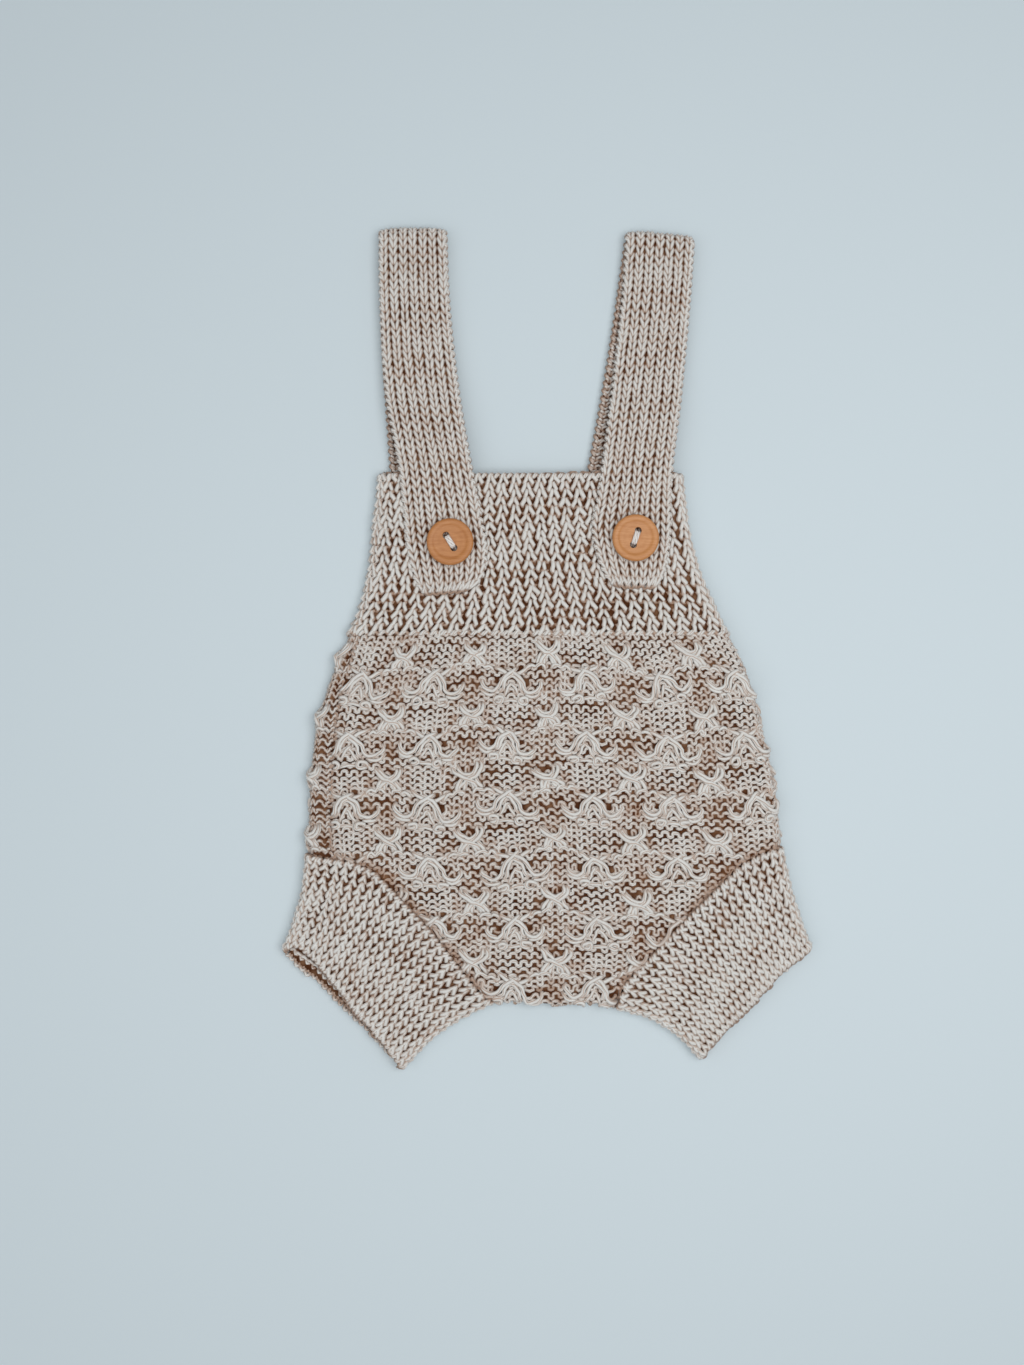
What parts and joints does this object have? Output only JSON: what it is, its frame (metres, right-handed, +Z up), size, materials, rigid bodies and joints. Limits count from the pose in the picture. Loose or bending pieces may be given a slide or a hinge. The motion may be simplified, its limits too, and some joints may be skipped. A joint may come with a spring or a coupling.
{
  "type": "knit overalls",
  "caption": "Knit baby overalls laid flat: ribbed bib, patterned body, ribbed leg cuffs, and straps folded over at the shoulder and buttoned down on the bib",
  "frame": {"origin": "on the surface it lies on, below the middle of its box", "axes": "+X to the right as seen from above, +Y towards the shoulders, +Z up off the surface, the front of the garment facing +Z"},
  "size_m": [0.2068, 0.3272, 0.0145],
  "materials": {
    "rib_knit": "matt cotton in one by one rib",
    "pattern_knit": "matt cotton, purl ground with slipped strands",
    "stocking_knit": "matt cotton in stocking stitch",
    "button_wood": "smooth satin",
    "sewing_yarn": "matt plied cotton"
  },
  "bodies": {
    "root": {"front_band": "rib_knit", "back_band": "rib_knit", "front_panel": "pattern_knit", "back_panel": "pattern_knit", "leg_cuff_left": "rib_knit", "leg_cuff_right": "rib_knit", "strap_left": "stocking_knit", "strap_right": "stocking_knit", "button_left": "button_wood", "button_right": "button_wood", "button_thread_left": "sewing_yarn", "button_thread_right": "sewing_yarn"}
  },
  "joints": []
}
